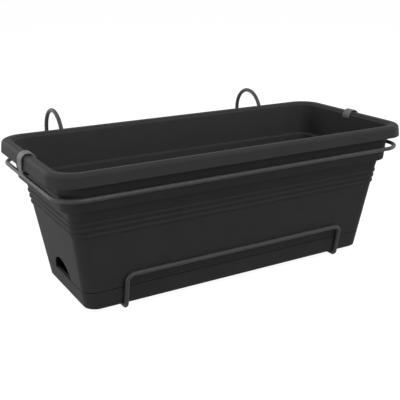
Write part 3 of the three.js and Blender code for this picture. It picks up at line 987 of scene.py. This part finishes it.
# ---- wires
@dataclass
class Wirework:
    """The ring round the collar and the hanger that carries it, welded at the back legs."""

    trough: Trough
    ring_corner: float = 30.0 * MM
    hook_radius: float = 33.0 * MM
    tail_length: float = 45.0 * MM
    back_bend: float = 12.0 * MM
    front_bend: float = 5.5 * MM
    bar_bend: float = 9.0 * MM
    bar_height: float = 39.8 * MM
    bar_standoff: float = 2.5 * MM
    arm_standoff: float = 0.5 * MM
    end_round: float = 1.4 * MM
    weld_size: tuple[float, float, float] = (2.3 * MM, 1.5 * MM, 2.3 * MM)
    weld_facets: tuple[int, int] = (24, 14)
    sides: int = 32
    bend_steps: int = 14

    def __post_init__(self) -> None:
        """Reads the wires' sizes and places from the frame."""
        ring_low, ring_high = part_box("ring_wire")
        self.ring_wire = ring_high.z - ring_low.z
        self.ring_middle = (ring_low + ring_high) / 2
        self.ring_half_x = (ring_high.x - ring_low.x - self.ring_wire) / 2
        self.ring_half_y = (ring_high.y - ring_low.y - self.ring_wire) / 2
        low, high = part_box("hanger_wire")
        ground = self.trough.ground
        self.wire = ground - FIT_GAP
        self.runner_z = self.wire / 2
        self.leg_x = (high.x - low.x - self.wire) / 2
        self.leg_y = high.y - self.wire / 2 - 2 * self.hook_radius
        self.hook_z = high.z - self.wire / 2 - self.hook_radius

    def build_ring(self) -> None:
        """Bends the ring from one length and joins its ends."""
        start = self.ring_middle + Vector((0.0, -self.ring_half_y, 0.0))
        bender = Bender(start, Vector((1, 0, 0)), Vector((0, 1, 0)))
        bender.round_stock(self.ring_wire, self.sides, 0.0)
        run_x = self.ring_half_x - self.ring_corner
        run_y = 2 * (self.ring_half_y - self.ring_corner)
        bender.feed(run_x)
        for run in (run_y, 2 * run_x, run_y, run_x):
            bender.bend(Vector((0, 0, 1)), self.ring_corner, QUARTER, self.bend_steps)
            bender.feed(run)
        bender.close()
        piece = bender.finish("ring_of_wire")
        dress(piece, COATED_WIRE, Body.PLANTER)
        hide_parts("ring_wire")

    def build_hanger(self) -> None:
        """Bends half of the hanger, from a hook's tail to the bar's middle, and mirrors it."""
        trough = self.trough
        tail_y = self.leg_y + 2 * self.hook_radius
        start = Vector((self.leg_x, tail_y, self.hook_z - self.tail_length))
        bender = Bender(start, Vector((0, 0, 1)), Vector((1, 0, 0)))
        bender.round_stock(self.wire, self.sides, self.end_round)
        side = Vector((1, 0, 0))
        bender.feed(self.tail_length - self.end_round)
        bender.bend(side, self.hook_radius, math.pi, 3 * self.bend_steps)
        bender.feed(self.hook_z - self.runner_z - self.back_bend)
        bender.bend(-side, self.back_bend, QUARTER, self.bend_steps)

        bar_z = trough.ground + self.bar_height
        bar_gap = (self.wire / 2 + self.bar_standoff) / math.cos(trough.side_draft)
        bar_y = trough.middle.y - trough.wall_plan(self.bar_height).y - bar_gap
        foot_gap = self.arm_standoff + self.wire / 2
        foot_y = trough.middle.y - trough.wall_plan(0.0).y - foot_gap
        lean = math.atan((foot_y - bar_y) / self.bar_height)
        corner_y = foot_y + (trough.ground - self.runner_z) * math.tan(lean)
        turn = QUARTER - lean
        cut = self.front_bend * math.tan(turn / 2)
        bender.feed(bender.place.y - corner_y - cut)
        bender.bend(-side, self.front_bend, turn, self.bend_steps)
        rise = (bar_z - self.runner_z) / math.cos(lean)
        bender.feed(rise - cut - self.bar_bend)
        bender.bend(bender.heading.cross(-side), self.bar_bend, QUARTER, self.bend_steps)
        bender.feed(bender.place.x)
        bender.mirror_in_x()
        piece = bender.finish("hanger_of_wire")
        dress(piece, COATED_WIRE, Body.PLANTER)
        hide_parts("hanger_wire")

    def build_weld(self, side: Side) -> None:
        """Makes the weld that joins the ring to one back leg.

        Args:
            side: The end at which the leg stands.
        """
        back = self.ring_middle.y + self.ring_half_y + self.ring_wire / 2 + FIT_GAP / 2
        around, down = self.weld_facets
        size = Matrix.Diagonal((*self.weld_size, 1.0))
        place = Matrix.Translation((self.leg_x * side.value, back, self.ring_middle.z)) @ size
        mesh = bmesh.new()
        bmesh.ops.create_uvsphere(
            mesh, u_segments=around, v_segments=down, radius=1.0, matrix=place
        )
        piece = to_solid(f"weld_{side.name.lower()}", mesh)
        dress(smooth(piece), COATED_WIRE, Body.PLANTER)


# ---- end clips
@dataclass
class Clip:
    """A clip over the rim's end, from its tip behind the rim to its jaw on the ring wire."""

    trough: Trough
    wires: Wirework
    strip: float = 1.8 * MM
    width: float = 14.0 * MM
    edge: float = 0.6 * MM
    foot_width: float = 24.0 * MM
    gusset: float = 8.0 * MM
    top_gap: float = 1.3 * MM
    arch_radius: float = 8.4 * MM
    shoulder_radius: float = 6.0 * MM
    jaw_lip: float = 2.5 * MM
    leg_overrun: float = 1.0 * MM
    steps: int = 14
    edge_steps: int = 4
    lip_steps: int = 3

    def _spread_at(self, height: float) -> float:
        """Finds how far each side of the strip stands out, at a height of the hollow gusset."""
        rise = min(max((height - self.wires.ring_middle.z) / self.gusset, 0.0), 1.0)
        return (self.foot_width - self.width) / 2 * (1 - math.sqrt(1 - (1 - rise) ** 2))

    def _widen(self, piece: Object, middle: float) -> None:
        """Widens the strip towards its foot through hollow gussets.

        Args:
            piece: The clip.
            middle: The Y of the strip's middle.
        """
        for vertex in piece.data.vertices:
            away = vertex.co.y - middle
            amount = self._spread_at(vertex.co.z)
            vertex.co.y += math.copysign(amount, away) * (abs(away) / (self.width / 2))
        piece.data.update()

    def build(self, side: Side) -> None:
        """Bends the clip for one end.

        Args:
            side: The end.
        """
        trough, ring = self.trough, self.wires.ring_middle
        joint = next(j for j in frame["joints"] if j["name"] == f"{side.name.lower()}_clip_swing")
        tip = Vector(joint["pos_m"])
        arch_z = trough.ground + trough.top + self.top_gap + self.strip / 2 - self.arch_radius
        axis = Vector((0, side.value, 0))
        bender = Bender(tip, Vector((0, 0, 1)), Vector((0, 1, 0)))
        bender.flat_stock(self.width, self.strip, self.edge, self.edge_steps)
        bender.feed(arch_z - tip.z)
        bender.bend(axis, self.arch_radius, math.pi, 2 * self.steps)
        leg_end = trough.ground + trough.rim_foot - self.leg_overrun
        bender.feed(bender.place.z - leg_end)

        jaw_radius = self.wires.ring_wire / 2 + FIT_GAP + self.strip / 2
        jaw_x = self.wires.ring_half_x
        dx = jaw_x - (abs(bender.place.x) - self.shoulder_radius)
        dz = ring.z - leg_end
        reach = math.hypot(dx, dz)
        slant = math.acos((self.shoulder_radius - jaw_radius) / reach) - math.atan2(dz, dx)
        slant = math.remainder(slant - 2 * math.pi, 2 * math.pi)
        bender.bend(axis, self.shoulder_radius, slant, self.edge_steps)
        run = math.sqrt(max(reach**2 - (self.shoulder_radius - jaw_radius) ** 2, 0.0))
        for _ in range(self.steps):
            bender.feed(run / self.steps)
        swing = math.atan2(ring.z - tip.z, jaw_x - abs(tip.x))
        bender.bend(axis, jaw_radius, -slant - swing, self.steps)
        for _ in range(self.lip_steps):
            bender.feed(self.jaw_lip / self.lip_steps)
        piece = bender.finish(f"{side.name.lower()}_clip_strip")
        self._widen(piece, tip.y)
        smooth(piece)
        dress(piece, CLIP_PLASTIC, Body[f"CLIP_{side.name}"])
        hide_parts(f"{side.name.lower()}_clip")


# ---- studio
def direction(azimuth: float, elevation: float) -> Vector:
    """Turns two angles into a direction.

    Args:
        azimuth: Degrees from +X towards +Y.
        elevation: Degrees above the floor.

    Returns:
        The direction, with length 1.
    """
    turn, rise = math.radians(azimuth), math.radians(elevation)
    level = math.cos(rise)
    return Vector((math.cos(turn) * level, math.sin(turn) * level, math.sin(rise)))


@dataclass(frozen=True)
class Lamp:
    """A soft oblong lamp, by the direction in which it stands."""

    name: str
    azimuth: float  # degrees from +X towards +Y
    elevation: float
    power: float
    width: float = 1.3
    height: float = 1.3
    distance: float = 2.2


@dataclass
class Studio:
    """The pale floor, the white surround, the lamps and the camera."""

    lamps: tuple[Lamp, ...] = (
        Lamp("low_left", azimuth=180.0, elevation=-1.0, power=23.0, width=1.5, height=0.12),
        Lamp("left", azimuth=140.0, elevation=35.0, power=21.0),
        Lamp("front", azimuth=-85.0, elevation=20.0, power=19.0),
        Lamp("above", azimuth=-80.0, elevation=60.0, power=36.0),
        Lamp("right", azimuth=-8.0, elevation=14.0, power=15.0),
        Lamp("rear", azimuth=112.0, elevation=12.0, power=13.0),
    )
    surround: float = 0.15
    floor_color: Color = (0.14, 0.14, 0.14)
    floor_fade: float = 0.98
    floor_clouds: float = 0.4
    floor_roughness: float = 0.9
    floor_specular: float = 0.1
    floor_lift: float = 0.93
    floor_reach: float = 12.0
    floor_drop: float = 0.1 * MM
    eye: tuple[float, float, float] = (-0.4598, -0.8328, 0.3871)
    view_azimuth: float = -31.72  # degrees from -Y towards +X
    view_elevation: float = 17.25
    lens: float = 65.43
    sensor: float = 36.0
    shift: tuple[float, float] = (-0.0764, -0.0265)

    def build_camera(self) -> None:
        """Stands the camera at the photograph's angle."""
        data = bpy.data.cameras.new("camera")
        data.lens = self.lens
        data.sensor_width = self.sensor
        data.shift_x, data.shift_y = self.shift
        camera = bpy.data.objects.new("camera", data)
        bpy.context.scene.collection.objects.link(camera)
        back = direction(self.view_azimuth - math.degrees(QUARTER), self.view_elevation)
        camera.rotation_euler = (-back).to_track_quat("-Z", "Y").to_euler()
        camera.location = self.eye
        bpy.context.scene.camera = camera

    def build_lamps(self) -> None:
        """Hangs the lamps round the object."""
        low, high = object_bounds()
        middle = (low + high) / 2
        for lamp in self.lamps:
            data = bpy.data.lights.new(lamp.name, "AREA")
            data.shape = "RECTANGLE"
            data.size, data.size_y = lamp.width, lamp.height
            data.energy = lamp.power
            light = bpy.data.objects.new(lamp.name, data)
            bpy.context.scene.collection.objects.link(light)
            away = direction(lamp.azimuth, lamp.elevation)
            light.location = middle + away * lamp.distance
            light.rotation_euler = (-away).to_track_quat("-Z", "Y").to_euler()

    def build_surround(self) -> None:
        """Makes the surround white to the camera and dimmer as a light."""
        world = bpy.data.worlds.new("surround")
        bpy.context.scene.world = world
        graph = Graph(world)
        light = graph.fill("Background", {"Color": WHITE, "Strength": self.surround})
        shown = graph.add("Background", {"Color": WHITE, "Strength": 1.0})
        parts = {0: graph.seen(), 1: light.outputs["Background"], 2: shown.outputs["Background"]}
        mix = graph.add("MixShader", parts)
        graph.fill("World Output", {"Surface": mix.outputs["Shader"]})

    def build_floor(self) -> None:
        """Lays the pale floor, which shows near white and keeps the object's shadow."""
        mesh = bmesh.new()
        place = Matrix.Translation((0.0, 0.0, -self.floor_drop))
        bmesh.ops.create_grid(mesh, x_segments=1, y_segments=1, size=self.floor_reach, matrix=place)
        floor = to_object("floor", mesh)
        paint = bpy.data.materials.new("floor_paint")
        graph = Graph(paint)
        clouds = graph.noise(self.floor_clouds, detail=2.0)
        dark = tuple(self.floor_fade * part for part in self.floor_color)
        inputs = {
            "Base Color": graph.tint(clouds, dark, self.floor_color),
            "Roughness": self.floor_roughness,
            "Specular IOR Level": self.floor_specular,
        }
        shader = graph.fill("Principled BSDF", inputs)
        lift = graph.add("Math", {0: graph.seen(), 1: self.floor_lift}, operation="MULTIPLY")
        glow = graph.add("Emission", {"Strength": lift.outputs["Value"]})
        parts = {0: shader.outputs["BSDF"], 1: glow.outputs["Emission"]}
        both = graph.add("AddShader", parts)
        graph.fill("Material Output", {"Surface": both.outputs["Shader"]})
        floor.data.materials.append(paint)
        floor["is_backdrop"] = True

    def build(self) -> None:
        """Builds the whole studio."""
        bpy.context.scene.view_settings.view_transform = "Standard"
        self.build_camera()
        self.build_lamps()
        self.build_surround()
        self.build_floor()


def main() -> None:
    """Builds the planter's pieces in order, then the studio."""
    logging.basicConfig(level=logging.INFO, format="%(name)s: %(message)s")
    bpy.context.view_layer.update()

    trough = Trough()
    trough.build()
    WaterTray(trough).build()

    wires = Wirework(trough)
    wires.build_ring()
    wires.build_hanger()
    for side in Side:
        wires.build_weld(side)
    for side in Side:
        Clip(trough, wires).build(side)

    Studio().build()


if __name__ == "__main__":
    main()
